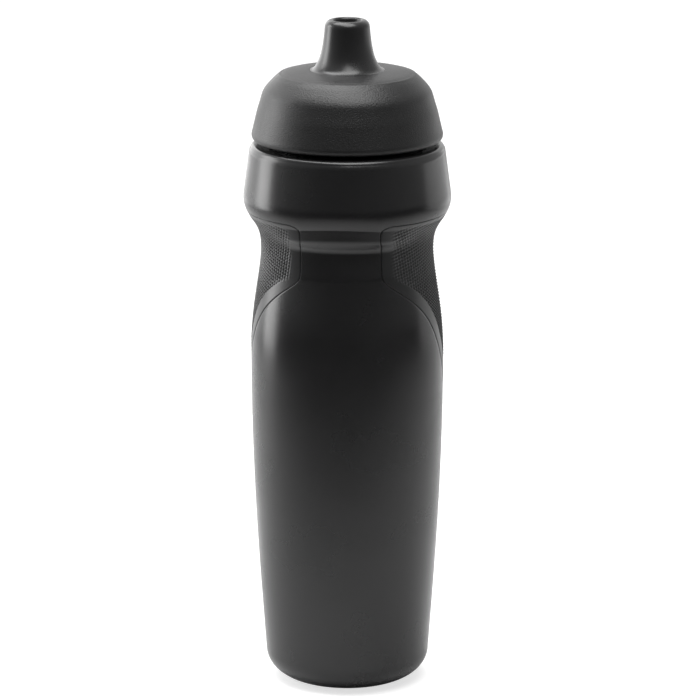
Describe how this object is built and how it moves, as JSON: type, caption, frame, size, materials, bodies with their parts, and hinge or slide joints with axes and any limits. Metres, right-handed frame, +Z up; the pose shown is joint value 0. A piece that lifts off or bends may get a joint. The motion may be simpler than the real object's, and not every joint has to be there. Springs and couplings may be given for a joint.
{
  "type": "sports squeeze bottle",
  "caption": "Waisted squeeze bottle with rubber side grips and a domed screw lid that carries a soft self-sealing drinking spout.",
  "frame": {"origin": "centre of the flat ring the bottle stands on", "axes": "+Z up along the bottle's axis to the spout, front towards -Y, one grip on each side at +X and -X"},
  "size_m": [0.075, 0.075, 0.245],
  "materials": {
    "bottle": "glossy blow-moulded polyethylene, black",
    "grip": "satin moulded rubber with a fine scale texture, black",
    "cap": "plain moulded polypropylene, black",
    "soft_cover": "matte soft-touch skin with a fine grain, dark grey-black",
    "spout": "smooth satin soft plastic, black",
    "silicone": "satin silicone, grey"
  },
  "bodies": {
    "bottle": {"bottle_shell": "bottle", "left_grip": "grip", "right_grip": "grip"},
    "gasket": {"cap_gasket": "silicone"},
    "lid": {"cap_shell": "cap", "cap_cover": "soft_cover", "spout": "spout", "slit_valve": "silicone", "valve_retainer": "cap"}
  },
  "joints": [
    {"name": "cap_rise", "type": "slide", "parent": "bottle", "child": "gasket", "axis": [0, 0, 1], "range_m": [0, 0.016]},
    {"name": "cap_turn", "type": "hinge", "parent": "gasket", "child": "lid", "pos_m": [0, 0, 0.215], "axis": [0, 0, 1], "range_deg": [0, 1440]}
  ],
  "couplings": [
    {"joint": "cap_rise", "follows": "cap_turn", "m_per_rad": 0.00063662}
  ]
}
